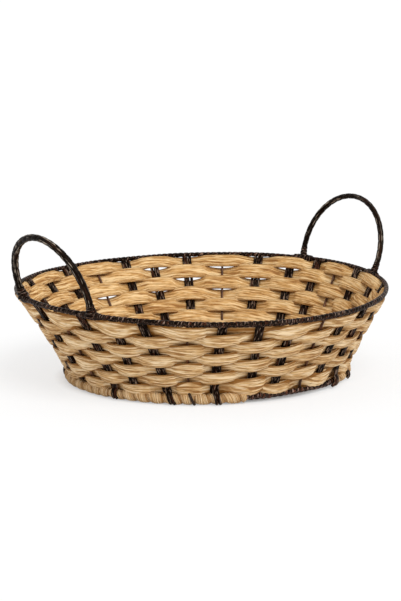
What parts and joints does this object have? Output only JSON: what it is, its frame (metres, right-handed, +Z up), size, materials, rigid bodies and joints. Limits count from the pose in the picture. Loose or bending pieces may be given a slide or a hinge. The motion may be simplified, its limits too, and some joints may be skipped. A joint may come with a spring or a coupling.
{
  "type": "woven basket",
  "caption": "Shallow oval straw basket with a flared woven wall, dark cane stakes, a wrapped rim and two upright hoop handles.",
  "frame": {"origin": "centre of the bounding box on the surface that the basket stands on", "axes": "+Z up out of the basket's mouth, +X through the two handles"},
  "size_m": [0.4148, 0.3642, 0.1661],
  "materials": {
    "straw": "dry twisted straw, satin along the fibre",
    "floor_straw": "dry flat straw, satin along the fibre",
    "dark_cane": "dark stained cane with a soft shine",
    "rim_binding": "hoop wrapped in dark stained cane with a soft shine",
    "rusty_wire": "thin wire with a rust-brown coat"
  },
  "bodies": {
    "root": {"rim_hoop": "rim_binding", "base_hoop": "rim_binding", "border_whipping": "straw", "wire_upright_00": "rusty_wire", "cane_stake_01": "dark_cane", "cane_stake_02": "dark_cane", "cane_stake_03": "dark_cane", "wire_upright_04": "rusty_wire", "cane_stake_05": "dark_cane", "cane_stake_06": "dark_cane", "cane_stake_07": "dark_cane", "wire_upright_08": "rusty_wire", "cane_stake_09": "dark_cane", "cane_stake_10": "dark_cane", "cane_stake_11": "dark_cane", "wire_upright_12": "rusty_wire", "cane_stake_13": "dark_cane", "cane_stake_14": "dark_cane", "cane_stake_15": "dark_cane", "wire_upright_16": "rusty_wire", "cane_stake_17": "dark_cane", "cane_stake_18": "dark_cane", "cane_stake_19": "dark_cane", "wire_upright_20": "rusty_wire", "cane_stake_21": "dark_cane", "cane_stake_22": "dark_cane", "cane_stake_23": "dark_cane", "wire_upright_24": "rusty_wire", "cane_stake_25": "dark_cane", "cane_stake_26": "dark_cane", "cane_stake_27": "dark_cane", "wire_upright_28": "rusty_wire", "cane_stake_29": "dark_cane", "cane_stake_30": "dark_cane", "cane_stake_31": "dark_cane", "wall_row_1": "straw", "wall_row_2": "straw", "wall_row_3": "straw", "wall_row_4": "straw", "wall_row_5": "straw", "wall_row_6": "straw", "wall_row_7": "straw", "floor_star": "dark_cane", "floor_row_1": "floor_straw", "floor_row_2": "floor_straw", "floor_row_3": "floor_straw", "floor_row_4": "floor_straw", "floor_row_5": "floor_straw", "floor_row_6": "floor_straw", "floor_centre": "floor_straw", "handle_left": "rim_binding", "lashing_left_front": "rim_binding", "lashing_left_back": "rim_binding", "handle_right": "rim_binding", "lashing_right_front": "rim_binding", "lashing_right_back": "rim_binding"}
  },
  "joints": []
}
